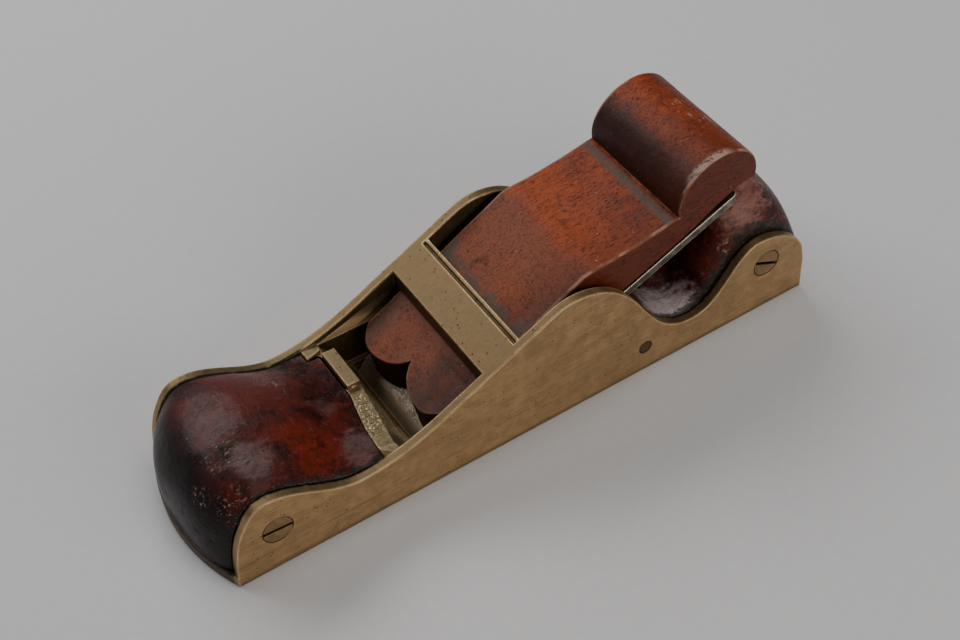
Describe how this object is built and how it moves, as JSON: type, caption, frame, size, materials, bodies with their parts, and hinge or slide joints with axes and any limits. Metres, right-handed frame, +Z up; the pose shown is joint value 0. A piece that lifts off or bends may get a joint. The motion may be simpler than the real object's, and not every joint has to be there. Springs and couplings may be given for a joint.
{
  "type": "hand plane",
  "caption": "Small smoothing plane: gunmetal body with shaped wooden infills, a bridge, a bedded iron and a wooden wedge that ends in a round finger roll.",
  "frame": {"origin": "on the sole, under the middle of the object's bounding box", "axes": "+X towards the heel, +Y across the body towards the far side plate, +Z up; the sole lies on z = 0"},
  "size_m": [0.2064, 0.0552, 0.0672],
  "materials": {
    "gunmetal": "aged, dull, bright on worn edges",
    "infill_wood": "dark red polish, worn",
    "wedge_wood": "red-brown, open pores, satin",
    "iron_steel": "aged grey, ground bevel",
    "screw_brass": "aged, dull"
  },
  "bodies": {
    "plane_body": {"body_casting": "gunmetal", "front_infill": "infill_wood", "rear_infill": "infill_wood", "cross_pin": "screw_brass", "front_screw_near": "screw_brass", "front_screw_far": "screw_brass", "rear_screw_near": "screw_brass", "rear_screw_far": "screw_brass"},
    "iron": {"cutting_iron": "iron_steel"},
    "wedge": {"wedge": "wedge_wood"}
  },
  "joints": [
    {"name": "iron_slide", "type": "slide", "parent": "plane_body", "child": "iron", "axis": [0.9219, 0, 0.3875], "range_m": [0, 0.075]},
    {"name": "wedge_slide", "type": "slide", "parent": "plane_body", "child": "wedge", "axis": [0.9219, 0, 0.3875], "range_m": [0, 0.07]}
  ]
}
